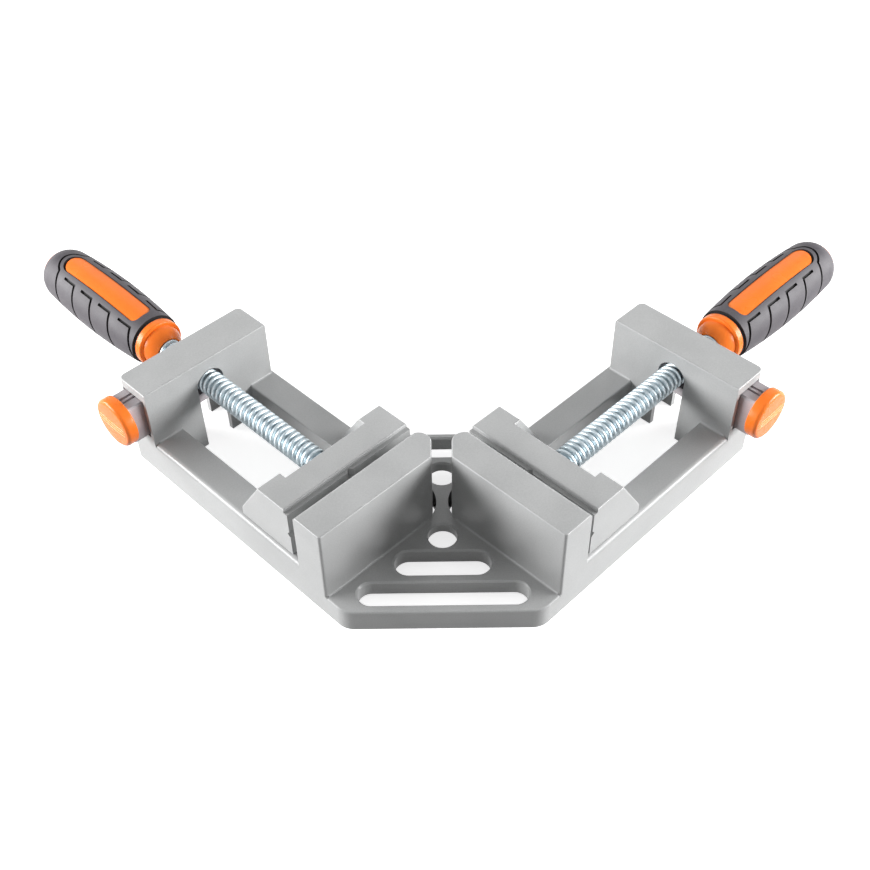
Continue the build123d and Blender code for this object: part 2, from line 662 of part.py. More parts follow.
def core_turning():
    """The core's collar with its round bead, its rod inside the grip and the button at the tip."""
    button = tip_arc(0, BUTTON_RADIUS)
    bead_foot = (COLLAR_BEAD_SINK, COLLAR_RADIUS - COLLAR_RIM)
    bead_top = (-COLLAR_BEAD_RISE, SPINDLE_RADIUS + COLLAR_RIM)
    bulge = COLLAR_RADIUS - COLLAR_RIM - COLLAR_BEAD_SINK
    bead = ThreePointArc(bead_foot, (-COLLAR_BEAD_BULGE, bulge), bead_top)
    back = Polyline(
        button @ 1,
        (CORE_LENGTH, BUTTON_RADIUS),
        (CORE_LENGTH, CORE_RADIUS),
        (COLLAR_SHOULDER, CORE_RADIUS),
        (COLLAR_SHOULDER, COLLAR_RADIUS),
        (0, COLLAR_RADIUS),
        (0, COLLAR_RADIUS - COLLAR_RIM + COLLAR_BEAD_SINK),
        bead_foot,
    )
    front = Polyline(
        bead_top,
        (-COLLAR_BEAD_RISE, SPINDLE_RADIUS),
        (BORE_DEPTH, SPINDLE_RADIUS),
        (BORE_DEPTH, 0),
        button @ 0,
    )
    return revolve(make_face([button.edge(), *back.edges(), bead.edge(), *front.edges()]), Axis.X)


def handle_core(gap):
    inlay = inlay_prism() & inlay_form()
    inlay -= revolve(ring_profile(0, HANDLE_LENGTH, 0, (CORE_RADIUS + SPINDLE_RADIUS) / 2), Axis.X)
    core = core_turning() + inlay
    return Pos(gap + HANDLE_REACH, SPINDLE_ACROSS, SPINDLE_HEIGHT) * core


def grip_turning():
    """The grip before its window is cut: a thick skin around the core's rod."""
    side = barrel(0)
    tip = tip_arc(0, TIP_RADIUS)
    button = tip_arc(0, BUTTON_RADIUS)
    tip = tip.trim(button.length / tip.length, 1)
    rest = Polyline(
        tip @ 0,
        (CORE_LENGTH, BUTTON_RADIUS),
        (CORE_LENGTH, CORE_RADIUS),
        (COLLAR_SHOULDER, CORE_RADIUS),
        side @ 0,
    )
    return revolve(make_face([side.edge(), tip.edge(), *rest.edges()]), Axis.X)


def handle_grip(gap):
    grip = grip_turning() - inlay_prism()
    return Pos(gap + HANDLE_REACH, SPINDLE_ACROSS, SPINDLE_HEIGHT) * grip


# Quick release
def release_slider():
    section = Pos(BLOCK_MIDDLE, SLIDER_MIDDLE) * Rectangle(SLIDER_WIDTH, SLIDER_HEIGHT)
    section = chamfer(section.vertices(), SLIDER_CHAMFER)
    bar = across(section, SLIDER_START, SLIDER_END)
    groove = block(
        BLOCK_MIDDLE - STEM_GROOVE_WIDTH / 2, BLOCK_MIDDLE + STEM_GROOVE_WIDTH / 2,
        ARM_WIDTH - PRESS_TRAVEL, SLIDER_END - STEM_GROOVE_DEPTH,
        SLIDER_TOP - STEM_GROOVE_DEPTH, SLIDER_TOP,
    )
    bar -= groove
    nut_radius = SPINDLE_RADIUS + RUNNING_CLEARANCE
    free_radius = SPINDLE_RADIUS + SPINDLE_CLEARANCE
    opening = Circle(nut_radius) + Pos(PRESS_TRAVEL / 2 + NUT_SLACK) * SlotOverall(
        PRESS_TRAVEL - NUT_SLACK + 2 * free_radius, 2 * free_radius)
    bar -= along(Pos(SPINDLE_ACROSS, SPINDLE_HEIGHT) * opening, BLOCK_START, ARM_LENGTH)
    peg = Pos(BLOCK_MIDDLE, SLIDER_MIDDLE) * Circle(SPIGOT_RADIUS)
    bar += across(peg, SLIDER_START - SPIGOT_LENGTH, SLIDER_START)
    tenon = Pos(BLOCK_MIDDLE, SLIDER_MIDDLE) * Rectangle(TENON_WIDTH, TENON_HEIGHT)
    return bar + across(tenon, SLIDER_END, SLIDER_END + TENON_LENGTH)


def release_cap():
    oval = Pos(BLOCK_MIDDLE, SLIDER_MIDDLE + CAP_RISE) * Ellipse(CAP_WIDTH / 2, CAP_HEIGHT / 2)
    cap = across(oval, SLIDER_END, SLIDER_END + CAP_THICKNESS)
    cap = fillet(cap.edges().group_by(Axis.Y)[-1], CAP_EDGE_RADIUS)
    cap = fillet(cap.edges().group_by(Axis.Y)[0], CAP_BACK_RADIUS)
    socket = Pos(BLOCK_MIDDLE, SLIDER_MIDDLE) * Rectangle(TENON_WIDTH, TENON_HEIGHT)
    return cap - across(socket, SLIDER_END, SLIDER_END + TENON_LENGTH)


def release_spring():
    length = SLIDER_START - SPRING_SEAT - SPRING_WIRE
    path = Helix(pitch=length / SPRING_TURNS, height=length, radius=SPRING_RADIUS)
    wire = Plane(origin=path @ 0, z_dir=path % 0) * Circle(SPRING_WIRE / 2)
    coil = sweep(wire, path=path, is_frenet=True)
    seated = Plane(origin=(BLOCK_MIDDLE, SPRING_SEAT + SPRING_WIRE / 2, SLIDER_MIDDLE), z_dir=(0, 1, 0))
    return seated.location * coil


def save(shape, node):
    export_step(shape, f"parts/{node}.step")


def save_arm(side, gap):
    """Write every node of one arm."""
    nodes = {
        "moving_jaw": moving_jaw(gap),
        "jaw_keeper": jaw_keeper(gap),
        "keeper_screws": keeper_screws(gap),
        "thrust_washer": thrust_washer(gap),
        "spindle": spindle(gap),
        "spindle_clip": spindle_clip(gap),
        "handle_core": handle_core(gap),
        "handle_grip": handle_grip(gap),
        "release_slider": release_slider(),
        "release_cap": release_cap(),
        "release_spring": release_spring(),
    }
    for name, shape in nodes.items():
        save(arm_side(shape, side), f"{side}_{name}")


save(frame(), "frame")
save_arm("left", LEFT_JAW_GAP)
save_arm("right", RIGHT_JAW_GAP)
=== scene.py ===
import logging
import math
from dataclasses import dataclass
from enum import Enum
from typing import Iterable

import bmesh
import bpy
from mathutils import Matrix, Vector


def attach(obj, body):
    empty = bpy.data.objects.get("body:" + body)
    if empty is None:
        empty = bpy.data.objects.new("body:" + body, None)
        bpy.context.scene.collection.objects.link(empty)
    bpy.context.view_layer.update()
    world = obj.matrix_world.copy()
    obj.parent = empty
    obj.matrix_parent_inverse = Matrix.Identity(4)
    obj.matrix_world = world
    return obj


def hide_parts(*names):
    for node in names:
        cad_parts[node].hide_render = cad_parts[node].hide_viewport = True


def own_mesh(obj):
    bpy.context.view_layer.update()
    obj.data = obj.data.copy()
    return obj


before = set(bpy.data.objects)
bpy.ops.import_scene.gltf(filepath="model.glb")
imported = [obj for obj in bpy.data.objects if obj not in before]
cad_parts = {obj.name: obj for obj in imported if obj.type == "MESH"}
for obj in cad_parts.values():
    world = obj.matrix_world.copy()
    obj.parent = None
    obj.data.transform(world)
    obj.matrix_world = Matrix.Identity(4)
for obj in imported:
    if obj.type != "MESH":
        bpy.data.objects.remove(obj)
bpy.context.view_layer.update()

logging.basicConfig(level=logging.INFO, format="%(message)s")
log = logging.getLogger("corner_clamp")

# Sizes are in millimetres along an arm's own axes: X along the arm from the fixed jaw's face, Y across it
# towards its outer side, Z up. arm_place turns and scales them into the clamp's metres.
MM = 0.001
Mesh = bmesh.types.BMesh


class Side(Enum):
    """The two arms, which are mirror images of each other."""

    LEFT = "left"
    RIGHT = "right"

    @property
    def jaw_gap(self) -> float:
        """How far this arm's moving jaw stands from its fixed jaw."""
        return 6.2 if self is Side.LEFT else 4.0

    @property
    def hand(self) -> int:
        """The hand that a screw thread is drawn with, so that it comes out right-handed in place."""
        return 1 if self is Side.LEFT else -1

    def node(self, name: str) -> str:
        """This arm's own name for a CAD node, body, joint or piece.

        Args:
            name: The name without its side.

        Returns:
            The name with the side in front.
        """
        return f"{self.value}_{name}"


@dataclass(frozen=True)
class ArmPlaces:
    """Places on an arm that more than one piece is set by."""

    spindle_across: float = 50.15
    spindle_height: float = 35.6
    handle_rim: float = 134.8
    block_middle: float = 110.675


ARM = ArmPlaces()


def arm_place(side: Side, origin: tuple[float, float, float] = (0, 0, 0)) -> Matrix:
    """The turn and scale from an arm's millimetres to the clamp's metres.

    Args:
        side: The arm.
        origin: Where the piece's own origin lies on the arm.

    Returns:
        The matrix that a piece's mesh is transformed by.
    """
    place = Matrix.Scale(MM, 4) @ Matrix.Rotation(math.radians(135), 4, "Z")
    if side is Side.RIGHT:
        place = Matrix.Scale(-1, 4, (1, 0, 0)) @ place
    return place @ Matrix.Translation(origin)


def handle_place(side: Side) -> Matrix:
    """Where a handle's own lengths start: on its spindle, at the rim of its collar.

    Args:
        side: The arm.

    Returns:
        The matrix that the handle's pieces are transformed by.
    """
    return arm_place(side, (side.jaw_gap + ARM.handle_rim, ARM.spindle_across, ARM.spindle_height))


def quarter(steps: int) -> list[float]:
    """The angles of a quarter turn, from nothing to its end, in equal steps.

    Args:
        steps: How many steps it has.

    Returns:
        One angle more than there are steps, in radians.
    """
    return [math.pi / 2 * i / steps for i in range(steps + 1)]


def linear(hex_code: str) -> tuple[float, float, float, float]:
    """Turn an sRGB hex colour into the linear colour that a socket takes.

    Args:
        hex_code: The colour, with a hash in front.

    Returns:
        Red, green and blue from 0 to 1, and full opacity.
    """
    parts = [int(hex_code[i:i + 2], 16) / 255 for i in (1, 3, 5)]
    red, green, blue = (p / 12.92 if p <= 0.04045 else ((p + 0.055) / 1.055) ** 2.4 for p in parts)
    return red, green, blue, 1.0


def add_node(tree: bpy.types.NodeTree, kind: str, inputs: dict | None = None,
             **settings: object) -> bpy.types.Node:
    """Add a node with its settings, values and links.

    Args:
        tree: The node tree that it goes into.
        kind: The node's type name.
        inputs: Values, or sockets to link from, by the input's name or number.
        **settings: The node's own properties.

    Returns:
        The new node.
    """
    node = tree.nodes.new(kind)
    for name, value in settings.items():
        setattr(node, name, value)
    for name, value in (inputs or {}).items():
        if isinstance(value, bpy.types.NodeSocket):
            tree.links.new(value, node.inputs[name])
        else:
            node.inputs[name].default_value = value
    return node


@dataclass(frozen=True)
class Finish:
    """A surface finish, drawn as grain in colour, gloss and height on the object's own coordinates."""

    name: str
    light: str
    dark: str
    grain: float
    roughness: tuple[float, float] = (0.4, 0.5)
    metallic: float = 0.0
    bump: float = 0.0
    bump_grain: float = 1.0
    patch: float = 12.0
    subsurface: float = 0.0
    specular: float = 0.5
    turning: float = 0.0
    turning_depth: float = 0.0

    def height(self, tree: bpy.types.NodeTree, where: bpy.types.NodeSocket) -> bpy.types.NodeSocket:
        """The surface's relief: fine grain and, on turned pieces, the rings that the tool left.

        Args:
            tree: The material's nodes.
            where: The object's own coordinates.

        Returns:
            The relief, where 1 stands one bump distance above 0.
        """
        relief = add_node(tree, "ShaderNodeTexNoise", {
            "Vector": where, "Scale": 1 / (self.bump_grain * MM), "Detail": 2.0}).outputs["Fac"]
        if not self.turning:
            return relief
        along = add_node(tree, "ShaderNodeAttribute", attribute_name="along").outputs["Fac"]
        turns = add_node(tree, "ShaderNodeMath", {0: along, 1: math.tau / self.turning}, operation="MULTIPLY")
        rings = add_node(tree, "ShaderNodeMath", {0: turns.outputs[0]}, operation="SINE")
        share = self.turning_depth / self.bump
        deep = add_node(tree, "ShaderNodeMath", {0: rings.outputs[0], 1: share}, operation="MULTIPLY")
        return add_node(tree, "ShaderNodeMath", {0: relief, 1: deep.outputs[0]}, operation="ADD").outputs[0]

    def build(self) -> bpy.types.Material:
        """Make the material.

        Returns:
            The material, with every pattern's scale taken from a size in millimetres.
        """
        material = bpy.data.materials.new(self.name)
        material.use_nodes = True
        tree = material.node_tree
        tree.nodes.clear()
        where = add_node(tree, "ShaderNodeTexCoord").outputs["Object"]
        grain = add_node(tree, "ShaderNodeTexNoise", {
            "Vector": where, "Scale": 1 / (self.grain * MM), "Detail": 3.0, "Roughness": 0.6})
        patch = add_node(tree, "ShaderNodeTexNoise", {
            "Vector": where, "Scale": 1 / (self.patch * MM), "Detail": 2.0, "Roughness": 0.5})
        mixed = add_node(tree, "ShaderNodeMath", {0: grain.outputs["Fac"], 1: patch.outputs["Fac"]},
                         operation="ADD")
        spread = add_node(tree, "ShaderNodeMapRange", {
            "Value": mixed.outputs[0], "From Min": 0.75, "From Max": 1.25})
        colour = add_node(tree, "ShaderNodeMix", {
            0: spread.outputs[0], 6: linear(self.dark), 7: linear(self.light)}, data_type="RGBA")
        gloss = add_node(tree, "ShaderNodeMapRange", {
            "Value": patch.outputs["Fac"], "From Min": 0.35, "From Max": 0.65,
            "To Min": self.roughness[0], "To Max": self.roughness[1]})
        bump = add_node(tree, "ShaderNodeBump", {
            "Height": self.height(tree, where), "Distance": self.bump * MM, "Strength": 1.0})
        shader = add_node(tree, "ShaderNodeBsdfPrincipled", {
            "Base Color": colour.outputs[2], "Roughness": gloss.outputs[0], "Metallic": self.metallic,
            "Normal": bump.outputs[0], "Subsurface Weight": self.subsurface,
            "Subsurface Radius": (1.5 * MM, 0.7 * MM, 0.4 * MM), "Specular IOR Level": self.specular})
        add_node(tree, "ShaderNodeOutputMaterial", {"Surface": shader.outputs[0]})
        return material


# Die-cast alloy with a satin silver-grey powder coat. The metal flakes in it give the eye a fine speckle,
# and the coat's slight orange peel breaks up its soft highlights. Real flakes are near 0.05 mm, too fine
# to show, so the grain is drawn at 0.6 mm.
POWDER_COAT = Finish("powder_coated_casting", light="#B4B5B5", dark="#A7A8A8", grain=0.6,
                     roughness=(0.28, 0.36), specular=0.45, bump=0.018, bump_grain=0.9, patch=25.0)

# Rolled steel thread, bright zinc plated with a blue passivation, which gives a cold silver with faint
# milky patches where the plating is thicker. The rolling left rings about 0.9 mm apart round the rod.
BLUE_ZINC = Finish("blue_zinc_plated_steel", light="#C8D2D7", dark="#9CA8AE", grain=0.7,
                   roughness=(0.34, 0.46), metallic=1.0, bump=0.006, bump_grain=0.5, patch=4.0,
                   turning=0.9, turning_depth=0.012)

# Plain ground steel with an oiled surface, for the pieces inside.
GROUND_STEEL = Finish("oiled_ground_steel", light="#A4A4A2", dark="#8B8B8A", grain=0.4,
                      roughness=(0.28, 0.40), metallic=1.0, bump=0.004, bump_grain=0.3, patch=6.0)

# Injection-moulded ABS, spark-eroded to a fine satin, a little translucent at its edges.
ORANGE_ABS = Finish("orange_moulded_abs", light="#FF822C", dark="#FC7A24", grain=0.5,
                    roughness=(0.22, 0.30), bump=0.006, bump_grain=0.45, patch=14.0,
                    subsurface=0.08, specular=0.25)

# The same orange plastic painted paler on the ribs of the release buttons: a painted highlight where the ribs
# catch the light.
RIB_HIGHLIGHT_ORANGE = Finish("orange_ribs_painted_highlight", light="#FFC98C", dark="#FFBE78", grain=0.5,
                     roughness=(0.26, 0.34), bump=0.003, bump_grain=0.45, patch=14.0,
                     subsurface=0.08)

# Thermoplastic rubber moulded over the core: a dry, even sheen with a fine matt texture.
GRIP_RUBBER = Finish("grey_moulded_rubber", light="#5A575B", dark="#4B484D", grain=0.5,
                     roughness=(0.50, 0.60), specular=0.3, bump=0.02, bump_grain=0.5, patch=10.0)

# The black base of the grip, which shows in the grooves between its grey pads. On the window's walls and the
# thin strip round its edge it is painted shade, a dark line for the shadow gap round the inlay.
GROOVE_RUBBER_AND_WINDOW_SHADE = Finish("black_groove_rubber_and_window_shade", light="#121113", dark="#0A090A", grain=0.5,
                       roughness=(0.70, 0.80), bump=0.01, bump_grain=0.5, patch=10.0)

# Glass-filled nylon, dull and slightly streaked.
GREY_NYLON = Finish("grey_moulded_nylon", light="#B9B3B6", dark="#A8A2A6", grain=0.5,
                    roughness=(0.42, 0.52), bump=0.01, bump_grain=0.5, patch=8.0)


def seen_rays(tree: bpy.types.NodeTree) -> bpy.types.NodeSocket:
    """Tell the rays that see a surface, straight or in a reflection, from those that only light it.

    Args:
        tree: The nodes that the answer is added to.

    Returns:
        A socket that is 1 for rays that see the surface.
    """
    rays = add_node(tree, "ShaderNodeLightPath")
    seen = add_node(tree, "ShaderNodeMath", {
        0: rays.outputs["Is Camera Ray"], 1: rays.outputs["Is Glossy Ray"]}, operation="MAXIMUM")
    through = add_node(tree, "ShaderNodeMath", {
        0: seen.outputs[0], 1: rays.outputs["Is Transmission Ray"]}, operation="MAXIMUM")
    return through.outputs[0]


@dataclass
class Studio:
    """The floor, the lamps and the camera of the photograph."""

    camera_place: tuple[float, float, float] = (-0.111, -378.639, 413.119)
    pitch_down: float = 44.966
    yaw: float = -0.409
    roll: float = -0.981
    focal_pixels: float = 1207.468
    picture_pixels: float = 870.0
    sensor_width: float = 36.0
    floor_half: float = 4000.0
    floor_glow: float = 0.75
    sky_light: float = 0.28
    side_lamp: float = 25.0
    side_place: tuple[float, float, float] = (1.15, 0.02, 0.33)
    side_size: tuple[float, float] = (0.9, 0.5)
    back_lamp: float = 1.8
    back_place: tuple[float, float, float] = (0.0, 1.25, 0.92)
    back_size: tuple[float, float] = (1.4, 0.7)

    def camera(self) -> None:
        """Set up the camera where the photograph was taken from."""
        yaw, pitch, roll = (math.radians(a) for a in (self.yaw, self.pitch_down, self.roll))
        forward = Vector((math.sin(yaw) * math.cos(pitch), math.cos(yaw) * math.cos(pitch),
                          -math.sin(pitch)))
        level = Vector((math.cos(yaw), -math.sin(yaw), 0))
        above = level.cross(forward)
        right = math.cos(roll) * level + math.sin(roll) * above
        up = math.cos(roll) * above - math.sin(roll) * level
        data = bpy.data.cameras.new("camera")
        data.sensor_width = self.sensor_width
        data.lens = self.focal_pixels / self.picture_pixels * data.sensor_width
        data.clip_start, data.clip_end = 0.02, 50
        camera = bpy.data.objects.new("camera", data)
        turn = Matrix((right, up, -forward)).transposed().to_4x4()
        camera.matrix_world = Matrix.Translation(Vector(self.camera_place) * MM) @ turn
        bpy.context.scene.collection.objects.link(camera)
        bpy.context.scene.camera = camera

    def floor(self) -> None:
        """Lay the pale floor, which shows white to the camera and in reflections, with its shadow kept."""
        mesh = bmesh.new()
        bmesh.ops.create_grid(mesh, x_segments=1, y_segments=1, size=self.floor_half * MM)
        floor = as_object("floor", mesh)
        material = bpy.data.materials.new("pale_floor")
        material.use_nodes = True
        tree = material.node_tree
        tree.nodes.clear()
        grey = add_node(tree, "ShaderNodeBsdfDiffuse", {"Color": linear("#4A4A4A")})
        plain = add_node(tree, "ShaderNodeBsdfDiffuse", {"Color": linear("#E8E8E8")})
        white = add_node(tree, "ShaderNodeEmission", {
            "Color": linear("#FFFFFF"), "Strength": self.floor_glow})
        sheet = add_node(tree, "ShaderNodeAddShader", {0: plain.outputs[0], 1: white.outputs[0]})
        mix = add_node(tree, "ShaderNodeMixShader", {
            0: seen_rays(tree), 1: grey.outputs[0], 2: sheet.outputs[0]})
        add_node(tree, "ShaderNodeOutputMaterial", {"Surface": mix.outputs[0]})
        floor.data.materials.append(material)

    def world(self) -> None:
        """Surround the clamp with an even pale light, white where it is seen."""
        world = bpy.data.worlds.new("studio")
        bpy.context.scene.world = world
        world.use_nodes = True
        tree = world.node_tree
        tree.nodes.clear()
        soft = add_node(tree, "ShaderNodeBackground", {
            "Color": linear("#FFFFFF"), "Strength": self.sky_light})
        white = add_node(tree, "ShaderNodeBackground", {"Color": linear("#FFFFFF"), "Strength": 1.0})
        mix = add_node(tree, "ShaderNodeMixShader", {
            0: seen_rays(tree), 1: soft.outputs[0], 2: white.outputs[0]})
        add_node(tree, "ShaderNodeOutputWorld", {"Surface": mix.outputs[0]})

    def lamp(self, name: str, place: tuple[float, float, float], size: tuple[float, float],
             watts: float) -> None:
        """Hang a soft box that faces the clamp.

        Args:
            name: The lamp's name.
            place: Where it hangs, in metres.
            size: Its width and height, in metres.
            watts: Its power.
        """
        data = bpy.data.lights.new(name, "AREA")
        data.shape, data.energy = "RECTANGLE", watts
        data.size, data.size_y = size
        lamp = bpy.data.objects.new(name, data)
        lamp.location = place
        lamp.rotation_mode = "QUATERNION"
        lamp.rotation_quaternion = Vector(place).to_track_quat("Z", "Y")
        bpy.context.scene.collection.objects.link(lamp)

    def build(self) -> None:
        """Set up everything that isn't part of the clamp."""
        self.camera()
        self.floor()
        self.world()
        across, back, up = self.side_place
        self.lamp("left_soft_box", (-across, back, up), self.side_size, self.side_lamp)
        self.lamp("right_soft_box", (across, back, up), self.side_size, self.side_lamp)
        self.lamp("back_soft_box", self.back_place, self.back_size, self.back_lamp)
        bpy.context.scene.view_settings.view_transform = "Standard"


def face_outwards(mesh: Mesh) -> None:
    """Wind every face so that its normal points out of the shape.

    The winding is judged by the stored normals, so they are brought up to date first.

    Args:
        mesh: The shape.
    """
    mesh.normal_update()
    bmesh.ops.recalc_face_normals(mesh, faces=mesh.faces)


def as_object(name: str, mesh: Mesh, place: Matrix | None = None,
              smooth_below: float = 35.0) -> bpy.types.Object:
    """Turn a finished bmesh into an object that sits at the origin.

    Args:
        name: The object's name.
        mesh: The shape, which is freed.
        place: Where it goes, if it isn't in place already.
        smooth_below: Edges that turn by fewer degrees than this are shaded smooth.

    Returns:
        The object, linked into the scene.
    """
    if place is not None:
        mesh.transform(place)
    face_outwards(mesh)
    data = bpy.data.meshes.new(name)
    mesh.to_mesh(data)
    mesh.free()
    data.shade_smooth()
    data.set_sharp_from_angle(angle=math.radians(smooth_below))
    thing = bpy.data.objects.new(name, data)
    bpy.context.scene.collection.objects.link(thing)
    return thing


def cut(thing: bpy.types.Object, cutter: bpy.types.Object) -> None:
    """Cut one object out of another and drop the cutter.

    The new walls keep the cutter's material numbers.

    Args:
        thing: The object that is cut.
        cutter: The shape that is taken out of it.
    """
    for _ in range(2):
        cutter.data.materials.append(None)
        thing.data.materials.append(None)
    modifier = thing.modifiers.new("cut", "BOOLEAN")
    modifier.operation = "DIFFERENCE"
    modifier.solver = "EXACT"
    modifier.use_self = True
    modifier.material_mode = "INDEX"
    modifier.object = cutter
    bpy.context.view_layer.update()
    shape = thing.evaluated_get(bpy.context.evaluated_depsgraph_get())
    data = bpy.data.meshes.new_from_object(shape)
    thing.modifiers.clear()
    thing.data = data
    bpy.data.objects.remove(cutter)


def spun(profile: Iterable[tuple[float, float]], steps: int) -> Mesh:
    """Turn a profile about the X axis into a closed shape.

    Args:
        profile: Points of length and radius, from one end to the other.
        steps: How many facets a full turn has.

    Returns:
        The turned shape.
    """
    mesh = bmesh.new()
    verts = [mesh.verts.new((x, 0, r)) for x, r in profile]
    edges = [mesh.edges.new(pair) for pair in zip(verts, verts[1:])]
    bmesh.ops.spin(mesh, geom=verts + edges, axis=(1, 0, 0), angle=math.tau, steps=steps, use_merge=True)
    bmesh.ops.remove_doubles(mesh, verts=mesh.verts, dist=1e-4)
    return mesh


def extruded(mesh: Mesh, rise: Vector) -> None:
    """Give flat faces a thickness by drawing them along a direction.

    Args:
        mesh: The faces.
        rise: How far and which way they are drawn.
    """
    drawn = bmesh.ops.extrude_face_region(mesh, geom=mesh.faces[:], use_keep_orig=True)
    moved = [item for item in drawn["geom"] if isinstance(item, bmesh.types.BMVert)]
    bmesh.ops.translate(mesh, verts=moved, vec=rise)


def added(mesh: Mesh, part: Mesh) -> None:
    """Add one shape to another and free it.

    Args:
        mesh: The shape that grows.
        part: The shape that goes into it.
    """
    data = bpy.data.meshes.new("part")
    part.to_mesh(data)
    part.free()
    mesh.from_mesh(data)
    bpy.data.meshes.remove(data)


def paint(thing: bpy.types.Object, *materials: bpy.types.Material) -> None:
    """Give an object these materials in its slots, in order.

    Args:
        thing: The object.
        *materials: One material for each slot.
    """
    slots = thing.data.materials
    for i, material in enumerate(materials):
        if i < len(slots):
            slots[i] = material
        else:
            slots.append(material)


@dataclass
class Castings:
    """The frame and the moving jaws, whose CAD shapes are shown as they are."""

    coat: bpy.types.Material

    def dress(self) -> None:
        """Paint every casting."""
        for name in ("frame", "left_moving_jaw", "right_moving_jaw"):
            paint(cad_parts[name], self.coat)
            log.info("casting %s painted", name)


@dataclass
class Spindle:
    """The threaded rod of one arm, with the journal and the clip's groove at its jaw end."""

    side: Side
    zinc: bpy.types.Material
    pitch: float = 3.0
    radius: float = 6.0
    root_radius: float = 4.45
    crest: float = 1.2
    root: float = 0.7
    crest_round: float = 0.28
    journal_radius: float = 4.5
    groove_radius: float = 3.5
    tip: float = 7.1
    clip_start: float = 8.2
    clip_end: float = 9.3
    shoulder: float = 17.9
    end: float = 180.8
    turn_steps: int = 48
    journal_steps: int = 48
    tip_chamfer: float = 0.5
    overlap: float = 0.05
    smooth_below: float = 50.0

    def thread(self) -> Mesh:
        """Wind the thread's profile along the rod.

        Returns:
            The thread, cut flat and closed at both ends.
        """
        mesh = bmesh.new()
        flank = (self.pitch - self.crest - self.root) / 2
        half_round = self.crest_round / 2
        rise, fall = self.root + flank, self.root + flank + self.crest
        one = [(0.0, self.root_radius), (self.root, self.root_radius),
               (rise - half_round, self.radius - self.crest_round), (rise + half_round, self.radius),
               (fall - half_round, self.radius), (fall + half_round, self.radius - self.crest_round)]
        turns = math.ceil((self.end - self.shoulder) / self.pitch) + 3
        start = self.shoulder - self.pitch * 1.5
        points = [(start + turn * self.pitch + x, r) for turn in range(turns) for x, r in one]
        verts = [mesh.verts.new((x, 0, r)) for x, r in points]
        edges = [mesh.edges.new(pair) for pair in zip(verts, verts[1:])]
        step = Vector((self.side.hand * self.pitch / self.turn_steps, 0, 0))
        bmesh.ops.spin(mesh, geom=verts + edges, axis=(1, 0, 0), dvec=step, angle=math.tau,
                       steps=self.turn_steps)
        bmesh.ops.remove_doubles(mesh, verts=mesh.verts, dist=1e-3)
        for x, outwards in ((self.shoulder, -1), (self.end, 1)):
            bmesh.ops.bisect_plane(mesh, geom=mesh.verts[:] + mesh.edges[:] + mesh.faces[:], dist=1e-4,
                                   plane_co=(x, 0, 0), plane_no=(outwards, 0, 0), clear_outer=True)
        rims = [edge for edge in mesh.edges if edge.is_boundary]
        bmesh.ops.holes_fill(mesh, edges=rims, sides=0)
        return mesh

    def journal(self) -> list[tuple[float, float]]:
        """The profile of the plain end that turns in the jaw.

        Returns:
            Points of length and radius.
        """
        inside = self.shoulder + self.overlap
        return [(self.tip, 0), (self.tip, self.groove_radius),
                (self.tip + self.tip_chamfer, self.journal_radius),
                (self.clip_start, self.journal_radius), (self.clip_start, self.groove_radius),
                (self.clip_end, self.groove_radius), (self.clip_end, self.journal_radius),
                (inside, self.journal_radius), (inside, 0)]

    def build(self) -> None:
        """Make the spindle and set it in place of its plain rod."""
        mesh = self.thread()
        added(mesh, spun(self.journal(), self.journal_steps))
        along = mesh.verts.layers.float.new("along")
        for vert in mesh.verts:
            vert[along] = vert.co.x
        place = arm_place(self.side, (self.side.jaw_gap, ARM.spindle_across, ARM.spindle_height))
        rod = as_object(self.side.node("threaded_spindle"), mesh, place, self.smooth_below)
        paint(rod, self.zinc)
        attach(rod, self.side.node("spindle_group"))
        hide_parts(self.side.node("spindle"))
        log.info("%s: %d faces", rod.name, len(rod.data.polygons))


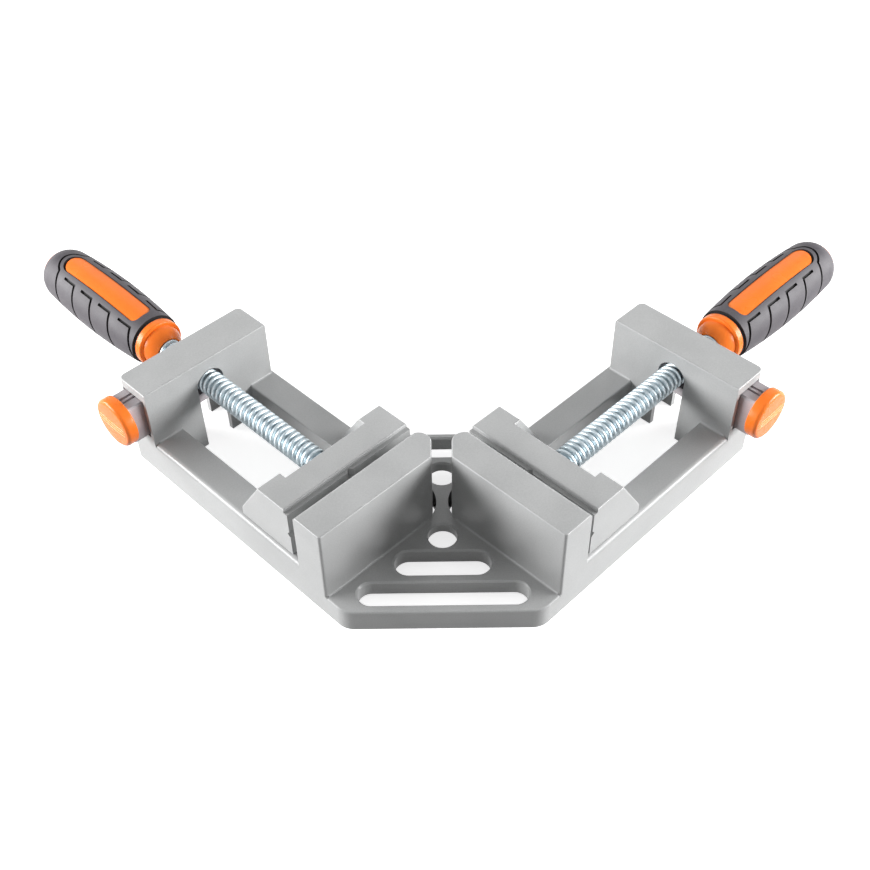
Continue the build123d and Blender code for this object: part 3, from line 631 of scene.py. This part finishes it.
@dataclass
class Grip:
    """The rubber grip of one handle: a full, round-ended barrel with a window and grooves between pads.

    Lengths are measured along the handle from the rim of its collar. Angles are measured round it from the
    middle of its window, which is turned a little from the top towards the arm's outer side.
    """

    side: Side
    rubber: bpy.types.Material
    # Black base rubber, which is also painted shade on the window's walls and edge.
    groove: bpy.types.Material
    start: float = 2.2
    start_radius: float = 12.9
    widest: float = 40.1
    radius: float = 15.15
    length: float = 89.1
    tip_radius: float = 13.7
    button_radius: float = 11.5
    core_radius: float = 9.0
    core_length: float = 79.0
    turn: float = 4.6
    window: tuple[float, float] = (8.1, 70.7)
    window_half: float = 5.6
    window_corner: float = 3.4
    window_edge: float = 0.4
    window_edge_depth: float = 0.42
    corners: tuple[float, ...] = (8.3, 23.8, 38.5, 53.5)
    groove_side: float = 36.5
    groove_run: float = 9.0
    groove_width: float = 1.4
    groove_depth: float = 1.2
    lean: float = 4.3
    lean_run: float = 60.0
    end_ring: float = 69.0
    end_ring_bow: float = 3.4
    front_ring: float = 2.75
    front_ring_width: float = 1.5
    window_side_steps: int = 24
    pane_lift: float = 0.4
    proud: float = 0.6
    run_steps: int = 6
    under_steps: int = 92
    barrel_steps: int = 60
    tip_steps: int = 16
    step_angle: int = 3
    turn_steps: int = 120
    smooth_below: float = 40.0

    def radius_at(self, length: float) -> float:
        """The barrel's radius, on the arc through its start, its widest place and its tip's start.

        Args:
            length: How far along the handle.

        Returns:
            The radius there.
        """
        ends = [(self.start, self.start_radius), (self.widest, self.radius),
                (self.length - self.tip_radius, self.tip_radius)]
        (x1, y1), (x2, y2), (x3, y3) = ends
        area = 2 * (x1 * (y2 - y3) + x2 * (y3 - y1) + x3 * (y1 - y2))
        squares = [x * x + y * y for x, y in ends]
        cx = (squares[0] * (y2 - y3) + squares[1] * (y3 - y1) + squares[2] * (y1 - y2)) / area
        cy = (squares[0] * (x3 - x2) + squares[1] * (x1 - x3) + squares[2] * (x2 - x1)) / area
        bend = math.hypot(x2 - cx, y2 - cy)
        if length <= self.length - self.tip_radius:
            return cy + math.sqrt(bend * bend - (length - cx) ** 2)
        return math.sqrt(max(self.tip_radius ** 2 - (length - self.length + self.tip_radius) ** 2, 0))

    def profile(self) -> list[tuple[float, float]]:
        """The closed outline of the rubber from the collar round to its inside.

        Returns:
            Points of length and radius, the first and the last on the same spot.
        """
        barrel_end = self.length - self.tip_radius
        steps = self.barrel_steps
        barrel = [self.start + (barrel_end - self.start) * i / steps for i in range(steps + 1)]
        points = [(x, self.radius_at(x)) for x in barrel]
        button = math.asin(self.button_radius / self.tip_radius)
        for i in range(1, self.tip_steps + 1):
            angle = math.pi / 2 + (button - math.pi / 2) * i / self.tip_steps
            points.append((barrel_end + self.tip_radius * math.cos(angle),
                           self.tip_radius * math.sin(angle)))
        points += [(self.core_length, self.button_radius), (self.core_length, self.core_radius),
                   (self.start, self.core_radius), points[0]]
        return points

    def ribbon(self, mesh: Mesh, path: list[tuple[float, float]], width: float) -> None:
        """Lay a strip along a path on the barrel, standing a little proud of it.

        Args:
            mesh: The cutter that it is added to.
            path: Points of length and angle.
            width: The strip's width.
        """
        scale = math.radians(1) * self.radius
        flat = [Vector((x, angle * scale)) for x, angle in path]
        pair = [mesh.verts.new((0, 0, 0)) for _ in range(2)]
        edge = mesh.edges.new(pair)
        for i, point in enumerate(flat):
            before = (point - flat[i - 1]).normalized() if i else (flat[1] - point).normalized()
            after = (flat[i + 1] - point).normalized() if i + 1 < len(flat) else before
            across = Vector((-(before + after).y, (before + after).x)).normalized()
            across *= width / 2 / max(across.dot(Vector((-before.y, before.x))), 0.5)
            if i:
                drawn = bmesh.ops.extrude_edge_only(mesh, edges=[edge])["geom"]
                fresh = [item for item in drawn if isinstance(item, bmesh.types.BMVert)]
                pair = [next(link.other_vert(end) for link in end.link_edges
                             if link.other_vert(end) in fresh) for end in pair]
                edge = mesh.edges.get(pair)
            for end, shift in zip(pair, (across, -across)):
                spot = point + shift
                end.co = self.on_barrel(spot.x, spot.y / scale, self.proud)

    def on_barrel(self, length: float, angle: float, above: float) -> Vector:
        """Find a place on the barrel.

        Args:
            length: How far along the handle.
            angle: How far round, from the window's middle.
            above: How far over the barrel's surface.

        Returns:
            The place, on the handle's own axes.
        """
        radius = self.radius_at(length) + above
        turn = math.radians(angle + self.turn)
        return Vector((length, radius * math.sin(turn), radius * math.cos(turn)))

    def leaning(self, length: float, angle: float) -> float:
        """Where a groove that runs round the side has got to.

        Args:
            length: Where it starts.
            angle: How far round it has gone.

        Returns:
            Its length there, nearer the collar the further round it is.
        """
        past = max(abs(angle) - self.groove_side, 0)
        return length - self.lean * min(past / self.lean_run, 1)

    def full_turn(self) -> list[int]:
        """Angles all the way round, the last on the same spot as the first."""
        return list(range(0, 361, self.step_angle))

    def groove_paths(self) -> list[list[tuple[float, float]]]:
        """The paths of all grooves.

        Returns:
            One list of lengths and angles for each groove.
        """
        far_side = 360 - self.groove_side
        sides = [self.groove_side + self.step_angle * i for i in range(1, self.under_steps + 1)]
        paths = []
        for corner in self.corners:
            run = [corner + self.groove_run * (1 - i / self.run_steps) for i in range(self.run_steps + 1)]
            near = [(x, self.groove_side) for x in run]
            round_under = [(self.leaning(corner, min(a, 360 - a)), a) for a in sides]
            far = [(x, far_side) for x in reversed(run)]
            paths.append(near + round_under + far)
        return paths

    def end_ring_path(self) -> list[tuple[float, float]]:
        """The ring groove near the tip, which bows out round the window's end.

        Returns:
            Points of length and angle.
        """
        centre = self.window[1] - self.window_half
        bow = self.window_half + self.end_ring_bow
        scale = math.radians(1) * self.radius
        path = []
        for angle in self.full_turn():
            away = min(angle, 360 - angle)
            rim = centre + math.sqrt(max(bow * bow - (away * scale) ** 2, 0))
            side = self.leaning(self.end_ring, away)
            path.append((max(rim, side), angle))
        return path

    def window_path(self) -> list[tuple[float, float]]:
        """The window's edge, from the middle of its straight end round its far end and back.

        Returns:
            Points of length and angle, the first and the last on the same spot.
        """
        start, half, corner = self.window[0], self.window_half, self.window_corner
        near = [(start + corner * (1 - math.cos(a)), half - corner * (1 - math.sin(a)))
                for a in quarter(6)]
        centre = self.window[1] - half
        bend = near[-1][0]
        side = [(bend + (centre - bend) * i / self.window_side_steps, half)
                for i in range(1, self.window_side_steps)]
        far = [(centre + half * math.sin(a), half * math.cos(a)) for a in quarter(12)]
        upper = [(start, 0.0)] + near + side + far
        lower = [(x, -y) for x, y in reversed(upper[:-1])]
        return [(x, math.degrees(math.asin(y / self.radius_at(x)))) for x, y in upper + lower]

    def sunk(self, paths: list[list[tuple[float, float]]], width: float, depth: float) -> Mesh:
        """Strips along paths, from a little above the barrel down to a depth under its surface.

        Args:
            paths: Lists of points of length and angle.
            width: The strips' width.
            depth: How deep they reach.

        Returns:
            The closed strips.
        """
        mesh = bmesh.new()
        for path in paths:
            self.ribbon(mesh, path, width)
        bmesh.ops.remove_doubles(mesh, verts=mesh.verts, dist=1e-3)
        drawn = bmesh.ops.extrude_face_region(mesh, geom=mesh.faces[:], use_keep_orig=True)
        for item in drawn["geom"]:
            if isinstance(item, bmesh.types.BMVert):
                outwards = Vector((0, item.co.y, item.co.z)).normalized()
                item.co -= outwards * (depth + self.proud)
        return mesh

    def pane(self) -> Mesh:
        """The prism that opens the window, with rounded corners at its start and a round far end.

        Returns:
            The prism, turned to where the window is.
        """
        start, end = self.window
        half = self.window_half
        pane = bmesh.new()
        bmesh.ops.create_grid(pane, x_segments=1, y_segments=1, size=1.0)
        bmesh.ops.scale(pane, verts=pane.verts, vec=((end - start) / 2, half, 1))
        bmesh.ops.translate(pane, verts=pane.verts, vec=((start + end) / 2, 0, 0))
        near = [v for v in pane.verts if v.co.x < self.widest]
        far = [v for v in pane.verts if v.co.x > self.widest]
        bmesh.ops.bevel(pane, geom=near, offset=self.window_corner, segments=8, affect="VERTICES",
                        profile=0.5, material=-1)
        # A touch less than half the width, so that the two round corners don't run into each other
        bmesh.ops.bevel(pane, geom=far, offset=half * 0.999, segments=16, affect="VERTICES", profile=0.5,
                        material=-1)
        bmesh.ops.translate(pane, verts=pane.verts, vec=(0, 0, self.core_radius + self.pane_lift))
        extruded(pane, Vector((0, 0, self.radius)))
        bmesh.ops.rotate(pane, verts=pane.verts, matrix=Matrix.Rotation(math.radians(-self.turn), 3, "X"))
        return pane

    def cutter(self) -> bpy.types.Object:
        """Everything that is cut out of the plain barrel.

        Returns:
            An object with the window's prism, the strip round its edge and the grooves' walls, all with the
            second material: black base rubber in the grooves, painted shade on the window's walls and edge.
        """
        grooves = self.groove_paths() + [self.end_ring_path()]
        mesh = self.sunk(grooves, self.groove_width, self.groove_depth)
        front = [(self.front_ring, angle) for angle in self.full_turn()]
        added(mesh, self.sunk([front], self.front_ring_width, self.groove_depth))
        # A thin strip round the window's edge, black as painted shade for the shadow gap round the inlay.
        added(mesh, self.sunk([self.window_path()], 2 * self.window_edge, self.window_edge_depth))
        added(mesh, self.pane())
        for face in mesh.faces:
            face.material_index = 1
        return as_object("grip_cutter", mesh)

    def build(self) -> None:
        """Make the grip and set it in place of its plain solid."""
        grip = as_object(self.side.node("soft_grip"), spun(self.profile(), self.turn_steps))
        cut(grip, self.cutter())
        place = handle_place(self.side)
        mesh = bmesh.new()
        mesh.from_mesh(grip.data)
        bmesh.ops.transform(mesh, matrix=place, verts=mesh.verts)
        face_outwards(mesh)
        mesh.to_mesh(grip.data)
        mesh.free()
        grip.data.shade_smooth()
        grip.data.set_sharp_from_angle(angle=math.radians(self.smooth_below))
        # The second slot: black base rubber in the grooves, painted shade round the window.
        paint(grip, self.rubber, self.groove)
        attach(grip, self.side.node("spindle_group"))
        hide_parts(self.side.node("handle_grip"))
        log.info("%s: %d faces", grip.name, len(grip.data.polygons))


@dataclass
class Collar:
    """The collar at the front of one handle: a rounded flange and a bell-shaped nose round the spindle.

    Lengths are measured along the handle from the CAD collar's rim, and grow towards the tip.
    """

    side: Side
    orange: bpy.types.Material
    back: float = 2.0
    front: float = -1.6
    radius: float = 12.1
    edge: float = 0.9
    nose_foot: float = 10.4
    nose_pull: tuple[float, float] = (-5.0, 10.2)
    nose_end: float = -8.2
    nose_lip: float = 6.9
    nose_steps: int = 16
    bore: float = 6.15
    steps: int = 96

    def profile(self) -> list[tuple[float, float]]:
        """The closed outline of the collar, from the flange's back round to the bore.

        Returns:
            Points of length and radius, the first and the last on the same spot.
        """
        round_off = [(self.front + self.edge * (1 - math.sin(a)),
                      self.radius - self.edge * (1 - math.cos(a)))
                     for a in quarter(8)]
        foot, lip = (self.front, self.nose_foot), (self.nose_end, self.nose_lip)
        nose = []
        for t in (i / self.nose_steps for i in range(self.nose_steps + 1)):
            nose.append(tuple((1 - t) ** 2 * a + 2 * t * (1 - t) * b + t * t * c
                              for a, b, c in zip(foot, self.nose_pull, lip)))
        start = (self.back, self.bore)
        return [start, (self.back, self.radius)] + round_off + nose + [(self.nose_end, self.bore), start]

    def build(self) -> None:
        """Make the collar."""
        place = handle_place(self.side)
        collar = as_object(self.side.node("collar"), spun(self.profile(), self.steps), place)
        paint(collar, self.orange)
        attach(collar, self.side.node("spindle_group"))
        log.info("%s: %d faces", collar.name, len(collar.data.polygons))


@dataclass
class PressButton:
    """The oval button of one quick release: a thick disc with a round edge, a low dome and three ribs.

    Its own X runs outwards from its back face, Y along its width and Z up its height.
    """

    side: Side
    orange: bpy.types.Material
    # The paler orange that paints the ribs' highlight.
    pale: bpy.types.Material
    width: float = 24.4
    height: float = 23.8
    thickness: float = 6.05
    edge: float = 1.8
    dome: float = 0.2
    dome_steps: int = 10
    back_edge: float = 0.8
    rib_pitch: float = 1.65
    rib_width: float = 0.4
    rib_rise: float = 0.15
    rib_margin: float = 0.8
    steps: int = 96
    seat: float = 92.2
    middle: float = 35.2

    @property
    def flat(self) -> float:
        """The dome's radius, where the round edge starts."""
        return self.height / 2 - self.edge

    def face_at(self, radius: float) -> float:
        """How far out the dome stands.

        Args:
            radius: How far from the dome's middle.

        Returns:
            The distance from the button's back face.
        """
        return self.thickness - self.dome * (radius / self.flat) ** 2

    def profile(self) -> list[tuple[float, float]]:
        """The outline of half the disc, from the middle of its back to the middle of its dome.

        Returns:
            Points of depth and radius.
        """
        outer = self.height / 2
        back = [(self.back_edge * (1 - math.cos(a)), outer - self.back_edge * (1 - math.sin(a)))
                for a in quarter(6)]
        reach = self.face_at(self.flat) - self.edge
        front = [(reach + self.edge * math.sin(a), self.flat + self.edge * math.cos(a))
                 for a in quarter(12)]
        radii = [self.flat * (1 - i / self.dome_steps) for i in range(1, self.dome_steps + 1)]
        dome = [(self.face_at(radius), radius) for radius in radii]
        return [(0, 0)] + back + front + dome

    def rib(self, height: float) -> Mesh:
        """One rib that runs across the dome at a height and follows it.

        Args:
            height: How far above the button's middle it runs.

        Returns:
            The rib with rounded edges, its foot inside the disc.
        """
        rib = bmesh.new()
        half = math.sqrt(self.flat ** 2 - height ** 2) * self.width / self.height - self.rib_margin
        bmesh.ops.create_grid(rib, x_segments=6, y_segments=1, size=1.0)
        upright = Matrix(((0, 0, 1, 0), (half, 0, 0, 0), (0, self.rib_width / 2, 0, height), (0, 0, 0, 1)))
        bmesh.ops.transform(rib, matrix=upright, verts=rib.verts)
        for vert in rib.verts:
            vert.co.x = self.face_at(math.hypot(vert.co.y, vert.co.z)) + self.rib_rise
        extruded(rib, Vector((-2 * self.rib_rise - self.dome, 0, 0)))
        rims = [edge for edge in rib.edges
                if all(v.co.x > self.face_at(math.hypot(v.co.y, v.co.z)) for v in edge.verts)
                and len(edge.link_faces) == 2 and edge.calc_face_angle() > 1]
        bmesh.ops.bevel(rib, geom=rims, offset=self.rib_width / 4, segments=3, affect="EDGES", profile=0.5,
                        material=-1)
        # The ribs take the second slot, the paler orange that paints their highlight.
        for face in rib.faces:
            face.material_index = 1
        return rib

    def build(self) -> None:
        """Make the button and set it in place of its plain solid."""
        mesh = spun(self.profile(), self.steps)
        bmesh.ops.scale(mesh, verts=mesh.verts, vec=(1, self.width / self.height, 1))
        for i in (-1, 0, 1):
            added(mesh, self.rib(i * self.rib_pitch))
        place = arm_place(self.side, (ARM.block_middle, self.seat, self.middle))
        place = place @ Matrix.Rotation(math.pi / 2, 4, "Z")
        button = as_object(self.side.node("press_button"), mesh, place)
        paint(button, self.orange, self.pale)
        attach(button, self.side.node("release_group"))
        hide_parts(self.side.node("release_cap"))
        log.info("%s: %d faces", button.name, len(button.data.polygons))


@dataclass
class StemRib:
    """The rib that stands in the groove on top of one release's stem and leaves a slot on each side."""

    side: Side
    nylon: bpy.types.Material
    width: float = 1.3
    depth: float = 1.0
    start: float = 80.0
    end: float = 91.2
    top: float = 44.4
    round_off: float = 0.25

    def build(self) -> None:
        """Make the rib."""
        mesh = bmesh.new()
        bmesh.ops.create_grid(mesh, x_segments=1, y_segments=1, size=0.5)
        bmesh.ops.scale(mesh, verts=mesh.verts, vec=(self.width, self.end - self.start, 1))
        extruded(mesh, Vector((0, 0, -self.depth)))
        upper = [edge for edge in mesh.edges if all(v.co.z > -self.depth / 2 for v in edge.verts)]
        bmesh.ops.bevel(mesh, geom=upper, offset=self.round_off, segments=3, affect="EDGES", profile=0.5,
                        material=-1)
        place = arm_place(self.side, (ARM.block_middle, (self.start + self.end) / 2, self.top))
        rib = as_object(self.side.node("stem_rib"), mesh, place)
        paint(rib, self.nylon)
        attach(rib, self.side.node("release_group"))
        log.info("%s: %d faces", rib.name, len(rib.data.polygons))


@dataclass
class ReleaseSpring:
    """The return spring of one release: a coil with a closed turn at each end, which the slider shortens.

    It is built along Z, from the end block's wall up to the slider.
    """

    side: Side
    steel: bpy.types.Material
    wall: float = 18.4
    slider: float = 34.0
    height: float = 34.0
    radius: float = 3.9
    wire: float = 0.5
    turns: float = 3.5
    press: float = 5.0
    turn_steps: int = 32
    round_steps: int = 12

    def coil(self) -> Mesh:
        """The coil, drawn round its axis in three runs: a closed turn, the open turns and a closed turn.

        Returns:
            The coil, with its wire closed at both ends.
        """
        mesh = bmesh.new()
        made = bmesh.ops.create_circle(mesh, cap_ends=True, radius=self.wire, segments=self.round_steps)
        bmesh.ops.rotate(mesh, verts=made["verts"], matrix=Matrix.Rotation(math.pi / 2, 3, "X"))
        bmesh.ops.translate(mesh, verts=made["verts"], vec=(self.radius, 0, self.wire))
        end = list(made["verts"]) + mesh.edges[:] + mesh.faces[:]
        closed = 2 * self.wire
        open_rise = self.slider - self.wall - 3 * closed
        for turns, rise in ((1, closed), (self.turns, open_rise), (1, closed)):
            steps = int(turns * self.turn_steps)
            end = bmesh.ops.spin(mesh, geom=end, axis=(0, 0, 1), cent=(0, 0, 0), dvec=(0, 0, rise / steps),
                                 angle=math.tau * turns, steps=steps)["geom_last"]
        return mesh

    def build(self) -> None:
        """Make the spring and hang it on the release's body."""
        place = arm_place(self.side, (ARM.block_middle, self.wall, self.height))
        place = place @ Matrix.Rotation(math.radians(-90), 4, "X")
        spring = as_object(self.side.node("return_spring"), self.coil(), place)
        paint(spring, self.steel)
        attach(spring, self.side.node("release_group"))
        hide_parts(self.side.node("release_spring"))
        self.side.node("release_press")
        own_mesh(spring)
        log.info("%s: %d faces", spring.name, len(spring.data.polygons))


@dataclass
class SmallParts:
    """The pieces whose CAD shapes are shown as they are, with their own finishes."""

    side: Side
    steel: bpy.types.Material
    zinc: bpy.types.Material
    orange: bpy.types.Material
    nylon: bpy.types.Material

    def dress(self) -> None:
        """Give each piece its finish."""
        finishes = {
            "jaw_keeper": self.steel, "thrust_washer": self.steel, "spindle_clip": self.steel,
            "keeper_screws": self.zinc, "handle_core": self.orange,
            "release_slider": self.nylon,
        }
        for name, material in finishes.items():
            paint(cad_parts[self.side.node(name)], material)
            log.info("%s dressed", self.side.node(name))


def main() -> None:
    """Build the studio and the clamp's visible pieces."""
    Studio().build()
    coat, zinc, steel, orange, pale, rubber, groove, nylon = (
        finish.build() for finish in (POWDER_COAT, BLUE_ZINC, GROUND_STEEL, ORANGE_ABS, RIB_HIGHLIGHT_ORANGE,
                                      GRIP_RUBBER, GROOVE_RUBBER_AND_WINDOW_SHADE, GREY_NYLON))
    Castings(coat).dress()
    for side in Side:
        SmallParts(side, steel, zinc, orange, nylon).dress()
        Spindle(side, zinc).build()
        Grip(side, rubber, groove).build()
        Collar(side, orange).build()
        PressButton(side, orange, pale).build()
        StemRib(side, nylon).build()
        ReleaseSpring(side, steel).build()


if __name__ == "__main__":
    main()
